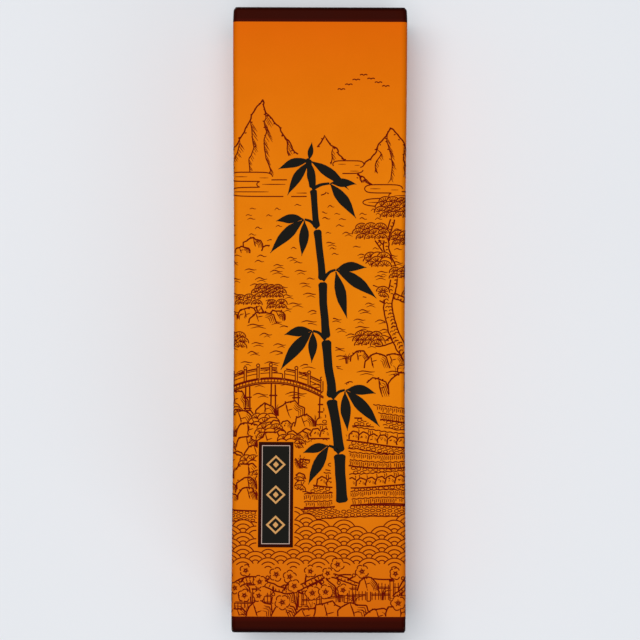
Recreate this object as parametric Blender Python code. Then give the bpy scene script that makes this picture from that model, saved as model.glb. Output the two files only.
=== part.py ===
"""Closed folding carton of a sliced castella cake, lying on its back panel.

The printed front panel faces up (+Z), the long side runs along Y and the origin is the middle of the
underside. The carton is one folded blank of coated board, shut at both ends by a closure panel that hangs
from the front panel and tucks in behind the back panel. It is shut and can't be seen into, so it is solid.
"""

import math

import bmesh
import bpy

MM = 0.001

# Overall sizes of the shut carton
LENGTH = 287 * MM  # along Y, over both closure panels
WIDTH = 80 * MM  # along X, just inside the ends, where it is widest
HEIGHT = 60 * MM  # along Z, at the middle of the crowned front panel

# The board and its folds
BOARD = 0.5 * MM  # thickness of the coated board
FOLD_RADIUS = 2.0 * MM  # outside radius of the soft folds that bound the long panels
FOLD_DROP = 3.0 * MM  # how far those round the front panel reach down, as the side panels bulge beside them
WAIST = 0.8 * MM  # how far each long side is drawn in at mid length
CROWN = 0.4 * MM  # how far the front panel rises between its folds

# How the blank closes at its two ends. The head is the end at +Y
HEAD, FOOT = 1, -1
FLAP_RADIUS = {HEAD: 1.3 * MM, FOOT: 0.8 * MM}  # outside radius of the dust flaps' upright folds
PINCH = {HEAD: 0.35 * MM, FOOT: 0.1 * MM}  # how far those folds pull each long side in, at the very end
PINCH_REACH = 8 * MM  # and how far from the end that begins
SLIT = {HEAD: 0.8 * MM, FOOT: 0.4 * MM}  # a closure panel is this much short of each long side
SEAM_INSET = 0.8 * MM  # from the left side to the cut edge of the back panel, glued over the seam flap
PANEL_INSET = 0.4 * MM  # the back panel's cut ends stop this far short of the closure panels
TUCK_GAP = 0.25 * MM  # between the back panel and the flap tucked in behind it
THUMB_RADIUS = 9 * MM  # the half-round thumb cut in each end of the back panel

# The two fields of colour that the blank is printed in, and its bare cut edge
BAND = {HEAD: 7 * MM, FOOT: 7.7 * MM}  # the dark bands that run over the ends of the long panels
ORANGE = (0.76, 0.19, 0.003, 1.0)
MAROON = (0.034, 0.005, 0.002, 1.0)
BARE_BOARD = (0.62, 0.56, 0.47, 1.0)
PRINT_ROUGHNESS = 0.45
BARE_ROUGHNESS = 0.9

# How finely the curves are cut
FOLD_STEPS = 8
CROWN_STEPS = 16
LENGTH_STEPS = 28
THUMB_SIDES = 48
CLEAR = 5 * MM  # cutters reach this far past the surface they open
SHARP_ANGLE = 35  # degrees between two faces, past which their edge is shaded sharp

PRINT_SLOT, BAND_SLOT, BARE_SLOT = range(3)


def clear_scene():
    for obj in list(bpy.data.objects):
        bpy.data.objects.remove(obj)


def board_material(name, colour, roughness):
    """One finish of the board."""
    material = bpy.data.materials.new(name)
    material.use_nodes = True
    shader = material.node_tree.nodes["Principled BSDF"]
    shader.inputs["Base Color"].default_value = colour
    shader.inputs["Roughness"].default_value = roughness
    shader.inputs["Metallic"].default_value = 0.0
    material.diffuse_color = colour
    return material


def along(y):
    """1 at mid length, easing to 0 at both ends."""
    return (1 + math.cos(2 * math.pi * y / LENGTH)) / 2


def half_width(y):
    """Half the carton's width: drawn in at mid length, and pinched over the last stretch of each end."""
    to_end = LENGTH / 2 - abs(y)
    pinch = PINCH[HEAD if y > 0 else FOOT] * max(0.0, 1 - to_end / PINCH_REACH) ** 2
    return WIDTH / 2 - WAIST * along(y) - pinch


def arc(centre, radius, start, end, steps, rise=None):
    """Points of an arc in a plane, both ends included. Angles are in degrees. rise makes it an ellipse's."""
    rise = rise or radius
    return [
        (
            centre[0] + radius * math.cos(math.radians(start + (end - start) * i / steps)),
            centre[1] + rise * math.sin(math.radians(start + (end - start) * i / steps)),
        )
        for i in range(steps + 1)
    ]


def front_panel(y, edge_height):
    """Points across the front panel from right to left, between its two long folds."""
    reach = half_width(y) - FOLD_RADIUS
    points = []
    for i in range(1, CROWN_STEPS):
        x = reach * (1 - 2 * i / CROWN_STEPS)
        points.append((x, edge_height + CROWN * along(y) * (1 - (x / reach) ** 2)))
    return points


def section(y, drop):
    """The carton's outline in X and Z at one place along its length, with its top lowered by drop."""
    half = half_width(y)
    inner = half - FOLD_RADIUS
    edge_height = HEIGHT - CROWN - drop
    shoulder = edge_height - FOLD_DROP
    seam_turn = math.degrees(math.acos((FOLD_RADIUS - SEAM_INSET) / FOLD_RADIUS))
    outline = arc((inner, FOLD_RADIUS), FOLD_RADIUS, -90, 0, FOLD_STEPS)
    outline += arc((inner, shoulder), FOLD_RADIUS, 0, 90, FOLD_STEPS, FOLD_DROP)
    outline += front_panel(y, edge_height)
    outline += arc((-inner, shoulder), FOLD_RADIUS, 90, 180, FOLD_STEPS, FOLD_DROP)
    outline += arc((-inner, BOARD + FOLD_RADIUS), FOLD_RADIUS, 180, 180 + seam_turn, FOLD_STEPS)
    outline.append((-half + SEAM_INSET, 0.0))
    return outline


def stations():
    """Places along Y with the drop of the top there: the end folds, the pinched ends and even steps."""
    body = LENGTH / 2 - FOLD_RADIUS
    fold = []
    for i in range(1, FOLD_STEPS + 1):
        angle = math.radians(90 * i / FOLD_STEPS)
        fold.append((body + FOLD_RADIUS * math.sin(angle), FOLD_DROP * (1 - math.cos(angle))))
    low, high = BAND[FOOT] - LENGTH / 2, LENGTH / 2 - BAND[HEAD]
    even = [low + (high - low) * i / LENGTH_STEPS for i in range(LENGTH_STEPS + 1)]
    middle = [(y, 0.0) for y in [-body, (low - body) / 2, *even, (high + body) / 2, body]]
    return [(-y, drop) for y, drop in reversed(fold)] + middle + fold


def carton_block(materials):
    """The carton before its slits and cut edges: sections along Y, bridged and closed at both ends."""
    mesh = bmesh.new()
    rings = []
    for y, drop in stations():
        rings.append([mesh.verts.new((x, y, z)) for x, z in section(y, drop)])
    count = len(rings[0])
    for first, second in zip(rings, rings[1:]):
        for i in range(count):
            j = (i + 1) % count
            mesh.faces.new((first[i], first[j], second[j], second[i]))
    mesh.faces.new(rings[0])
    mesh.faces.new(rings[-1])
    bmesh.ops.recalc_face_normals(mesh, faces=mesh.faces)
    for face in mesh.faces:
        y = face.calc_center_median().y
        in_band = LENGTH / 2 - abs(y) < BAND[HEAD if y > 0 else FOOT]
        face.material_index = BAND_SLOT if in_band else PRINT_SLOT
    return finished("carton", mesh, materials)


def finished(name, mesh, materials):
    """Turns a bmesh into an object that carries the board's three finishes."""
    data = bpy.data.meshes.new(name)
    mesh.to_mesh(data)
    mesh.free()
    for material in materials:
        data.materials.append(material)
    obj = bpy.data.objects.new(name, data)
    bpy.context.scene.collection.objects.link(obj)
    return obj


def prism(name, outline, place, low, high, bare, materials):
    """A cutter: a flat outline extruded from low to high.

    place(a, b, depth) puts a point of the outline in space, and bare holds the numbers of the outline's
    sides that leave the board's bare edge.
    """
    mesh = bmesh.new()
    ends = [[mesh.verts.new(place(a, b, depth)) for a, b in outline] for depth in (low, high)]
    count = len(outline)
    for i in range(count):
        j = (i + 1) % count
        side = mesh.faces.new((ends[0][i], ends[0][j], ends[1][j], ends[1][i]))
        side.material_index = BARE_SLOT if i in bare else BAND_SLOT
    for end in ends:
        mesh.faces.new(end).material_index = BAND_SLOT
    bmesh.ops.recalc_face_normals(mesh, faces=mesh.faces)
    cutter = finished(name, mesh, materials)
    cutter.hide_render = True
    cutter.display_type = "WIRE"
    return cutter


def slit_cutter(side, end, materials):
    """Frees one side of a closure panel, down to the rounded fold of the dust flap under it."""
    radius = FLAP_RADIUS[end]
    half = WIDTH / 2 - PINCH[end]
    slit_x = half - SLIT[end]
    centre = (half - radius, LENGTH / 2 - BOARD - radius)
    start = math.degrees(math.acos((slit_x - centre[0]) / radius))
    outline = [(slit_x, LENGTH / 2 + CLEAR)]
    outline += arc(centre, radius, start, 0, FOLD_STEPS)
    outline += [(WIDTH / 2 + CLEAR, centre[1]), (WIDTH / 2 + CLEAR, LENGTH / 2 + CLEAR)]

    def place(a, b, depth):
        return side * a, end * b, depth

    name = f"slit_cutter_{'right' if side > 0 else 'left'}_{'head' if end == HEAD else 'foot'}"
    return prism(name, outline, place, -CLEAR, HEIGHT + CLEAR, {0}, materials)


def tuck_cutter(end, materials):
    """Opens the line where a closure panel turns in behind the back panel's cut end."""
    turn_height = BOARD + TUCK_GAP
    fold_y = LENGTH / 2 - FOLD_RADIUS
    panel_end = LENGTH / 2 - PANEL_INSET
    outline = [(LENGTH / 2 + CLEAR, -CLEAR), (panel_end, -CLEAR), (panel_end, BOARD), (fold_y, BOARD)]
    outline += arc((fold_y, turn_height + FOLD_RADIUS), FOLD_RADIUS, -90, 0, FOLD_STEPS)
    outline.append((LENGTH / 2 + CLEAR, turn_height + FOLD_RADIUS))

    def place(a, b, depth):
        return depth, end * a, b

    name = f"tuck_cutter_{'head' if end == HEAD else 'foot'}"
    return prism(name, outline, place, -WIDTH / 2 - CLEAR, WIDTH / 2 + CLEAR, {1}, materials)


def thumb_cutter(end, materials):
    """The half-round thumb cut, as deep as the board and the gap behind it."""
    outline = arc((0.0, LENGTH / 2 - PANEL_INSET), THUMB_RADIUS, 0, 360, THUMB_SIDES)[:-1]

    def place(a, b, depth):
        return a, end * b, depth

    name = f"thumb_cutter_{'head' if end == HEAD else 'foot'}"
    return prism(name, outline, place, -CLEAR, BOARD + TUCK_GAP, set(range(THUMB_SIDES)), materials)


def cut(obj, cutter):
    modifier = obj.modifiers.new(cutter.name, "BOOLEAN")
    modifier.operation = "DIFFERENCE"
    modifier.solver = "EXACT"
    modifier.object = cutter


def build():
    clear_scene()
    materials = [
        board_material("orange_print", ORANGE, PRINT_ROUGHNESS),
        board_material("maroon_print", MAROON, PRINT_ROUGHNESS),
        board_material("bare_board_edge", BARE_BOARD, BARE_ROUGHNESS),
    ]
    carton = carton_block(materials)
    for end in (HEAD, FOOT):
        cut(carton, tuck_cutter(end, materials))
        cut(carton, thumb_cutter(end, materials))
        for side in (1, -1):
            cut(carton, slit_cutter(side, end, materials))
    carton.data.shade_smooth()
    carton.data.set_sharp_from_angle(angle=math.radians(SHARP_ANGLE))


build()
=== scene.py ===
"""Looks of a shut, printed carton of castella cake, lying on a pale floor.

The print is drawn flat, in millimetres: x runs across the front panel from its middle line, over the long
folds and down the side panels, and y runs along the carton. Two small Geometry Nodes trees make the drawn
lines into thin layers of ink: one sweeps them to their width, and the other lays them on the carton's
panels and round its folds.
"""

import math
import random

import bmesh
import bpy
import numpy as np
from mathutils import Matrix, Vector, noise


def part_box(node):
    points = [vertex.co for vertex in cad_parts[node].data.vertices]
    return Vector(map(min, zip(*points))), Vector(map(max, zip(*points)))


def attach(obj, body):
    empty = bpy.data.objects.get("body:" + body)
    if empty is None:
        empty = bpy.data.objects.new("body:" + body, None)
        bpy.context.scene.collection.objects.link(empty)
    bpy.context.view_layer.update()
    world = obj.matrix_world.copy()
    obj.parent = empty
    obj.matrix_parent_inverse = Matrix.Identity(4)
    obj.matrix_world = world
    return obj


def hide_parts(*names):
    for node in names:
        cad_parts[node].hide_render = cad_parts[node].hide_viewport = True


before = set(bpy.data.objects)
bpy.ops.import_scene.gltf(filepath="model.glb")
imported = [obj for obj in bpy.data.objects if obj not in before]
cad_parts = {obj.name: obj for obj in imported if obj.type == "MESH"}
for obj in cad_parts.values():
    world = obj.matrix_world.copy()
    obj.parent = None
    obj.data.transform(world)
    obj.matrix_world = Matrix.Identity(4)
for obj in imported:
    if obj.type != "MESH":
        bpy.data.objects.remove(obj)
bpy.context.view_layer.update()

MM = 0.001

# The carton as its solid is built. All sizes are in millimetres
LOW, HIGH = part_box("carton")
LENGTH = (HIGH.y - LOW.y) / MM
HEIGHT = (HIGH.z - LOW.z) / MM
WIDTH = 80.0
FOLD_RADIUS = 2.0
FOLD_DROP = 3.0  # how far the folds round the front panel reach down
WAIST = 0.8  # how far each long side is drawn in at mid length
CROWN = 0.4  # how far the front panel rises between its folds
BOARD = 0.5
HEAD_BAND, FOOT_BAND = 7.0, 7.7  # the dark bands over the two ends of the long panels
HEAD_SLIT, FOOT_SLIT = WIDTH / 2 - 1.15, WIDTH / 2 - 0.5  # from the middle to a closure panel's slits
PANEL_INSET = 0.4  # from the carton's ends to the cut ends of the back panel
THUMB_RADIUS = 9.0

# The print
PRINT_HEAD, PRINT_FOOT = LENGTH / 2 - HEAD_BAND, FOOT_BAND - LENGTH / 2  # from band to band
PRINT_SIDE = WIDTH / 2 + HEIGHT - 3.2  # from the middle line over a long fold and down a side panel
PEN, FINE_PEN, BOLD_PEN = 0.25, 0.2, 0.33  # half the width of the drawn lines
STEP = 0.6  # between the points of a line while it is drawn
THINNED = 0.03  # how far a line may stray when the points it doesn't need are left out
LONGEST = 4.0  # the longest stretch between two points of a finished line
FOLD_REACH = 3.0  # lines keep all their points this near a long fold
SCRAP = 2.0  # what is left of a cut line is dropped where it is shorter than this
HALO = 1.5  # clear ground round the brushwork
INK_DEPTH = 0.04  # how far the underside of an ink layer lies in the board
LINE_HEIGHT, BRUSH_HEIGHT = 0.04, 0.07  # how far the inks stand proud of it
BORDER_HEIGHT, FIELD_HEIGHT, GOLD_HEIGHT = 0.055, 0.085, 0.12
LIFTS, LIFT = 8, 0.001  # strokes take turns at levels this far apart, as crossing tops mustn't coincide

noise.seed_set(24)  # so that the hand's wobble is the same each run


# Drawing flat lines


def distances(points):
    """How far along a path each of its points lies."""
    return np.r_[0, np.cumsum(np.hypot(*np.diff(points, axis=0).T))]


def resample(points, step):
    """The same path with points at even steps."""
    points = np.asarray(points, float)
    lengths = distances(points)
    at = np.linspace(0, lengths[-1], max(2, round(lengths[-1] / step) + 1))
    return np.c_[np.interp(at, lengths, points[:, 0]), np.interp(at, lengths, points[:, 1])]


def smooth(points, steps=10):
    """A smooth curve through a few chosen points."""
    points = np.asarray(points, float)
    padded = np.vstack([2 * points[0] - points[1], points, 2 * points[-1] - points[-2]])
    t = np.linspace(0, 1, steps, endpoint=False)[:, None]
    pieces = []
    for a, b, c, d in zip(padded, padded[1:], padded[2:], padded[3:]):
        bend = 2 * a - 5 * b + 4 * c - d
        twist = 3 * b - a - 3 * c + d
        pieces.append(b + ((c - a) * t + bend * t**2 + twist * t**3) / 2)
    return np.vstack([*pieces, points[-1:]])


def wobble(points, size, scale, seed=0.0):
    """Points moved a little by smooth noise, as a hand moves a pen."""
    moved = [noise.noise_vector(Vector((x / scale, y / scale, seed))) for x, y in points]
    return np.asarray(points, float) + size * np.array([(v.x, v.y) for v in moved])


def inside(points, outline):
    """Which points lie inside a closed outline."""
    x, y = points[:, :1], points[:, 1:2]
    x1, y1 = outline.T
    x2, y2 = np.roll(outline, -1, axis=0).T
    spans = (y1 > y) != (y2 > y)
    rise = np.where(y2 == y1, 1e-9, y2 - y1)
    crossings = spans & (x < (x2 - x1) * (y - y1) / rise + x1)
    return crossings.sum(1) % 2 == 1


def arc(x, y, across, up, turn):
    """Points of an ellipse about a middle, at these angles in radians."""
    return np.c_[x + across * np.cos(turn), y + up * np.sin(turn)]


def ellipse(x, y, across, up, count):
    """The outline of an ellipse."""
    return arc(x, y, across, up, np.linspace(0, 2 * math.pi, count, endpoint=False))


def upright_box(x, half, low, high):
    """The outline of a box that stands on a middle line."""
    return [(x - half, low), (x - half, high), (x + half, high), (x + half, low)]


def level_at(x, y, half):
    """A level stroke to both sides of a point."""
    return [(x - half, y), (x + half, y)]


def closed(outline):
    """The outline with its first point again at its end."""
    return np.vstack([outline, outline[:1]])


def turned(degrees, reach=1.0):
    """The point that lies this far off in this direction."""
    return reach * np.array([math.cos(math.radians(degrees)), math.sin(math.radians(degrees))])


def is_straight(stretch):
    """Whether a stretch of a stroke can be one straight piece of even taper, clear of the long folds."""
    span = stretch[-1] - stretch[0]
    reach = np.hypot(span[0], span[1])
    if reach > LONGEST or (abs(abs(stretch[:, 0]) - WIDTH / 2) < FOLD_REACH).any():
        return False
    from_start = stretch - stretch[0]
    share = from_start[:, :2] @ span[:2] / max(reach, 1e-6) ** 2
    return abs(from_start - share[:, None] * span).max() < THINNED


def thinned(stroke):
    """The same stroke with only the points that its shape needs."""
    kept = [0]
    while kept[-1] < len(stroke) - 1:
        end = kept[-1] + 1
        while end + 1 < len(stroke) and is_straight(stroke[kept[-1] : end + 2]):
            end += 1
        kept.append(end)
    return stroke[kept]


# The columns of a drawing's table after x and y: half the line's width there, the line's number, its
# layer's number, and whether the point shows
HALF_WIDTH, LINE, LAYER, SHOWS = range(2, 6)


class Drawing:
    """Flat lines in the order they are drawn. What comes later stands in front and hides what it covers."""

    def __init__(self):
        self.table = np.empty((0, 6))
        self.fresh = []
        self.count = 0
        self.layers = []

    def layer(self, name):
        """What is drawn from here on goes into this layer, which becomes a piece of its own."""
        self.layers.append(name)

    def points(self):
        """The whole table, with a row for each point drawn so far."""
        if self.fresh:
            self.table = np.vstack([self.table, *self.fresh])
            self.fresh = []
        return self.table

    def line(self, points, width=PEN, taper=0.0, step=STEP):
        """One line. With a taper its ends thin out over that length. A list of widths is spread along it."""
        path = resample(points, step)
        at = np.linspace(0, 1, len(path))
        widths = np.interp(at, np.linspace(0, 1, np.size(width)), np.atleast_1d(width))
        if taper:
            along = distances(path)
            to_end = np.minimum(along, along[-1] - along)
            widths = widths * (0.4 + 0.6 * np.clip(to_end / taper, 0, 1))
        labels = np.tile([self.count, len(self.layers) - 1, 1], (len(path), 1))
        self.fresh.append(np.c_[path, widths, labels])
        self.count += 1

    def curve(self, points, steps, width=PEN, taper=0.0):
        """A smooth line through a few chosen points."""
        self.line(smooth(points, steps), width, taper)

    def boxed(self, low, high):
        """The numbers of the points that lie between two corners."""
        places = self.points()[:, :2]
        return np.flatnonzero(((places >= low) & (places <= high)).all(1))

    def covered(self, outline):
        """The numbers of the points that lie inside a closed outline."""
        near = self.boxed(outline.min(0), outline.max(0))
        return near[inside(self.table[near, :2], outline)]

    def hide(self, outline):
        """Hides what lies inside a closed outline."""
        found = self.covered(np.asarray(outline, float))
        self.table[found, SHOWS] = 0

    def hide_between(self, first, second):
        """Hides what lies between two lines that run the same way."""
        self.hide(np.vstack([first, second[::-1]]))

    def hide_near(self, strokes, gap):
        """Hides what comes nearer to any of these strokes than the gap."""
        for stroke in strokes:
            reach = stroke[:, HALF_WIDTH].max() + gap
            near = self.boxed(stroke[:, :2].min(0) - reach, stroke[:, :2].max(0) + reach)
            apart = self.table[near, None, :2] - stroke[None, :, :2]
            away = np.hypot(apart[..., 0], apart[..., 1]) - stroke[:, HALF_WIDTH]
            self.table[near[(away < gap).any(1)], SHOWS] = 0

    def shape(self, outline, width=PEN):
        """A closed outline that hides what is behind it."""
        outline = np.asarray(outline, float)
        self.hide(outline)
        self.line(closed(outline), width)

    def joined(self, outlines):
        """Several closed outlines drawn as the one outline round them all."""
        for outline in outlines:
            self.hide(outline)
        first = self.count
        for outline in outlines:
            self.line(closed(outline))
        for number, outline in enumerate(outlines, first):
            found = self.covered(outline)
            lines = self.table[found, LINE]
            self.table[found[(lines >= first) & (lines != number)], SHOWS] = 0

    def strokes(self, layer):
        """The stretches of a layer that show within the printed field: rows of x, y and half width.
        Scraps of cut lines are left out."""
        table = self.points()
        whole = np.bincount(table[:, LINE].astype(int))
        table = table[table[:, LAYER] == self.layers.index(layer)]
        shows = (table[:, SHOWS] > 0) & (abs(table[:, 0]) < PRINT_SIDE)
        shows &= (table[:, 1] > PRINT_FOOT) & (table[:, 1] < PRINT_HEAD)
        breaks = (np.diff(table[:, LINE]) != 0) | np.diff(shows)
        found = []
        for rows in np.split(np.arange(len(table)), np.flatnonzero(breaks) + 1):
            is_cut = len(rows) < whole[int(table[rows[0], LINE])]
            is_scrap = is_cut and (len(rows) - 1) * STEP < SCRAP
            if len(rows) > 1 and shows[rows[0]] and not is_scrap:
                found.append(table[rows, :3])
        return found


def hatch(art, start, end, direction, length, gap, rng):
    """Short slanting strokes set side by side along a line, of uneven length."""
    start, end = np.asarray(start, float), np.asarray(end, float)
    count = max(1, round(math.dist(start, end) / gap))
    for i in range(count):
        base = start + (end - start) * (i + rng.uniform(0.2, 0.8)) / count
        reach = length * rng.uniform(0.55, 1.1)
        art.line([base, base + turned(direction + rng.uniform(-5, 5), reach)], FINE_PEN, taper=length * 0.6)


def dabs(art, path, spacing, rng):
    """Small dabs of the brush along a ridge or the top of a rock."""
    for x, y in resample(path, spacing):
        middle = np.array((x + rng.uniform(-0.7, 0.7), y + rng.uniform(-0.6, 0.6)))
        side = turned(rng.uniform(-30, 30), rng.uniform(0.3, 0.55))
        art.line([middle - side, middle, middle + side], [0.12, 0.36, 0.12], step=0.3)


# The picture in fine maroon lines: a mountain lake and a terraced garden


def peak(art, left, top, right, foot, seed):
    """A far peak: a broken outline, ridges winding down from it and hatching on their shaded side."""
    rng = random.Random(seed)
    x, y = top
    t = np.linspace(0, 1, 40)
    slopes = []
    for end in (left, right):
        fall = (1 - (1 - t) ** 1.7) if rng.random() < 0.5 else t**0.85
        side = np.c_[x + (end - x) * t, y + (foot - y) * fall]
        slopes.append(wobble(side, 1.6, 5.0, seed) + wobble(side, 0.7, 1.5, seed + 3) - side)
    outline = np.vstack([slopes[0][::-1], slopes[1][1:]])
    art.hide(np.vstack([outline, [right, foot - 8], [left, foot - 8]]))
    art.line(outline, BOLD_PEN)
    count = max(5, round((right - left) / 6.5))
    for number in range(count):
        at = (number + 0.5 + rng.uniform(-0.3, 0.3)) / count
        start = outline[int(at * (len(outline) - 1))]
        drop = (start[1] - foot) * rng.uniform(0.65, 0.95)
        lean = (start[0] - x) * 0.45 + rng.uniform(-3, 3)
        t = np.linspace(0, 1, 16)
        ridge = wobble(np.c_[start[0] + lean * t, start[1] - drop * t], 2.2, 4.0, seed + number)
        ridge += start - ridge[0]
        art.line(ridge, PEN, taper=3)
        for i in range(1, len(ridge) - 2):
            length = 1.2 + drop * 0.15 * (1 - i / len(ridge)) ** 0.7
            hatch(art, ridge[i], ridge[i + 1], -58, length, 1.2, rng)
        dabs(art, ridge[: len(ridge) // 2], 4.0, rng)
    dabs(art, outline - [0, 0.6], 3.0, rng)


def mist(art, x, y, length, thickness, lobes):
    """A drifting bank of mist: long rounded bars set against each other, with a few flow lines in them."""
    bars = []
    turn = np.linspace(0, 2 * math.pi, 60, endpoint=False)
    across = np.sign(np.cos(turn)) * np.abs(np.cos(turn)) ** 0.35
    for i in range(lobes):
        reach = length * (1 - 0.28 * i) / 2
        middle = x + (length * 0.16 * i if i % 2 else -length * 0.13 * i)
        level = y + (i - (lobes - 1) / 2) * thickness * 0.82
        bars.append(np.c_[middle + reach * across, level + thickness / 2 * np.sin(turn)])
    art.joined(bars)
    for bar in bars:
        (left, low), (right, high) = bar.min(0), bar.max(0)
        level = (low + high) / 2
        reach = right - left
        art.line([(left + 2.5, level), (left + reach * 0.42, level)], FINE_PEN, taper=3)
        art.line([(right - reach * 0.3, level - 0.5), (right - 2, level - 0.5)], FINE_PEN, taper=3)


def ripple(art, x, y, length, rng):
    """One current mark: a low arc, with a shorter one under it where the mark is long."""
    bow = rng.uniform(0.5, 1.1)
    arc = ((0, -bow), (0.35, 0), (0.75, -bow * 0.8), (1, -bow * 0.6))
    art.curve([(x + length * share, y + lift) for share, lift in arc], 6, PEN, 2)
    if length > 4.5:
        start, end = x + length * rng.uniform(0.1, 0.35), x + length * rng.uniform(0.85, 1.15)
        art.curve([(start, y - 1.9), ((start + end) / 2, y - 1.2), (end, y - 2.0)], 6, FINE_PEN, 2)


def water(art, top, bottom, seed):
    """Scattered current marks, small and close far off, longer and in pairs near by."""
    rng = random.Random(seed)
    y = top
    while y > bottom:
        near = (top - y) / (top - bottom)
        x = -PRINT_SIDE + rng.uniform(0, 8)
        while x < PRINT_SIDE:
            length = (2.8 + 5.2 * near) * rng.uniform(0.7, 1.3)
            ripple(art, x, y + rng.uniform(-1.2, 1.2), length, rng)
            x += length + rng.uniform(3, 9) + 2 * near
        y -= 3.0 + 1.6 * near


def geese(art, x, y, count):
    """A skein of far birds, each two short wing strokes."""
    for i in range(count):
        side = 1 if i % 2 else -1
        rank = (i + 1) // 2
        cx, cy = x + side * rank * 3.4, y - rank * (1.7 if side > 0 else 2.2)
        for wing in (-1, 1):
            art.curve([(cx, cy), (cx + wing * 0.8, cy + 0.55), (cx + wing * 1.7, cy + 0.15)], 10)


def rock(art, x, y, width, height, seed):
    """A boulder: a chipped outline, facet lines, and hatching on its shaded sides."""
    rng = random.Random(seed)
    turn = np.linspace(math.pi, 0, 9)
    top = np.c_[x + width / 2 * np.cos(turn), y + height * np.sin(turn) ** 0.8]
    top[1:-1] += [[rng.uniform(-0.07, 0.07) * width, rng.uniform(-0.12, 0.1) * height] for _ in top[1:-1]]
    art.hide(top)
    art.line(top, BOLD_PEN)
    crest = top[rng.choice((3, 4))]
    elbow = crest + [rng.uniform(0.02, 0.12) * width, -height * rng.uniform(0.4, 0.55)]
    foot = elbow + [rng.uniform(-0.1, 0.1) * width, -height * 0.3]
    spur = elbow + [width * 0.2, height * 0.1]
    art.line([crest, elbow, foot], PEN, taper=1.5)
    art.line([elbow, spur], PEN, taper=1)
    for start, end in ((crest, elbow), (elbow, foot)):
        hatch(art, start, end, -68, height * 0.3, 0.9, rng)
    for level in (0.86, 0.72, 0.58):
        art.line((x, y) + (top[5:] - (x, y)) * level, FINE_PEN, taper=2)
    if width > 8:
        dabs(art, top[2:6], 1.7, rng)


def rocks(art, *places):
    """Boulders in the order they are drawn: x, y, width, height and seed."""
    for place in places:
        rock(art, *place)


def pine_fan(art, x, y, reach, rng):
    """A half-round fan of pine needles with a rim, in front of what is behind it."""
    turn = np.linspace(-0.12, math.pi + 0.12, 16)
    rim = arc(x, y, reach, reach * 0.85, turn)
    art.hide(rim)
    art.line(rim)
    needles = 7
    for i in range(needles):
        way = turned(14 + 152 * i / (needles - 1) + rng.uniform(-4, 4), reach) * (1, 0.85)
        art.line([(x, y) + way * 0.2, (x, y) + way * 0.82], FINE_PEN)


def pine_pad(art, x, y, width, height, seed, reach=2.9):
    """One flat cloud of pine foliage: rows of needle fans, each row in front of the one above."""
    rng = random.Random(seed)
    rows = max(2, round(height / 2.3))
    for row in range(rows):
        level = 1 - 2 * (row + 0.5) / rows
        half = width / 2 * math.sqrt(1 - level * level * 0.8) - reach * 0.6
        foot = y + level * height / 2 - reach / 2
        fans = max(1, round(2 * half / (reach * 1.25)))
        for i in range(fans + 1):
            across = -half + 2 * half * i / fans + rng.uniform(-0.3, 0.3)
            pine_fan(art, x + across, foot, reach * rng.uniform(0.9, 1.1), rng)


def pine_pads(art, *places):
    """Clouds of foliage in the order they are drawn: x, y, width, height and seed."""
    for place in places:
        pine_pad(art, *place)


def trunk(art, path, start_width, end_width, seed):
    """A tree's trunk or bough: two uneven edges with curved plates of bark between them."""
    rng = random.Random(seed)
    path = resample(smooth(path), 0.8)
    along = np.linspace(0, 1, len(path))
    way = np.gradient(path, axis=0)
    way /= np.hypot(*way.T)[:, None]
    across = np.c_[-way[:, 1], way[:, 0]]
    half = (start_width + (end_width - start_width) * along) / 2
    left = wobble(path + across * half[:, None], 0.5, 2.2, seed)
    right = wobble(path - across * half[:, None], 0.5, 2.2, seed + 5)
    art.hide_between(left, right)
    art.line(left, BOLD_PEN)
    art.line(right, BOLD_PEN)
    for i in range(1, len(path) - 1, 2):
        if half[i] < 0.7:
            continue
        for _ in range(2):
            centre = path[i] + across[i] * half[i] * rng.uniform(-0.6, 0.6)
            size = half[i] * rng.uniform(0.3, 0.5)
            ends = [centre - across[i] * size, centre + way[i] * size * 0.8, centre + across[i] * size]
            art.curve(ends, 5, FINE_PEN)


def arched_bridge(art, left, right, rise):
    """A wooden bridge in one high arch: planked deck, railing with capped posts, and trestles in the
    water."""
    (x1, y1), (x2, y2) = left, right
    deck, rail, stations = 2.4, 4.6, 48

    def arch(lift):
        t = np.linspace(0, 1, stations)
        return np.c_[x1 + (x2 - x1) * t, y1 + (y2 - y1) * t + rise * 4 * t * (1 - t) + lift]

    lower, upper = arch(-deck), arch(0)
    for number in (1, 2, 3, 4):
        x, y = lower[number * stations // 5]
        depth = 5 + y - min(y1, y2)
        for offset in (-0.9, 0.9):
            art.line([(x + offset, y), (x + offset * 1.3, y - depth)], BOLD_PEN)
        for share in (0.35, 0.7):
            art.line(level_at(x, y - depth * share, 1.9), BOLD_PEN)
    art.hide_between(lower, upper)
    for lift, width in ((-deck, BOLD_PEN), (-deck * 0.72, FINE_PEN), (-0.5, FINE_PEN), (0, BOLD_PEN)):
        art.line(arch(lift), width)
    for point, under in zip(resample(upper, 1.5), resample(lower, 1.5)):
        art.line([point - [0, 0.5], under + [0, 0.7]], FINE_PEN)
    for lift, width in ((rail, BOLD_PEN), (rail - 0.8, FINE_PEN), (rail * 0.5, FINE_PEN)):
        art.line(arch(lift), width)
    for x, y in upper[3::5]:
        art.shape(upright_box(x, 0.5, y, y + rail + 0.9))
        art.shape(ellipse(x, y + rail + 1.5, 0.75, 0.75, 12))


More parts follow.
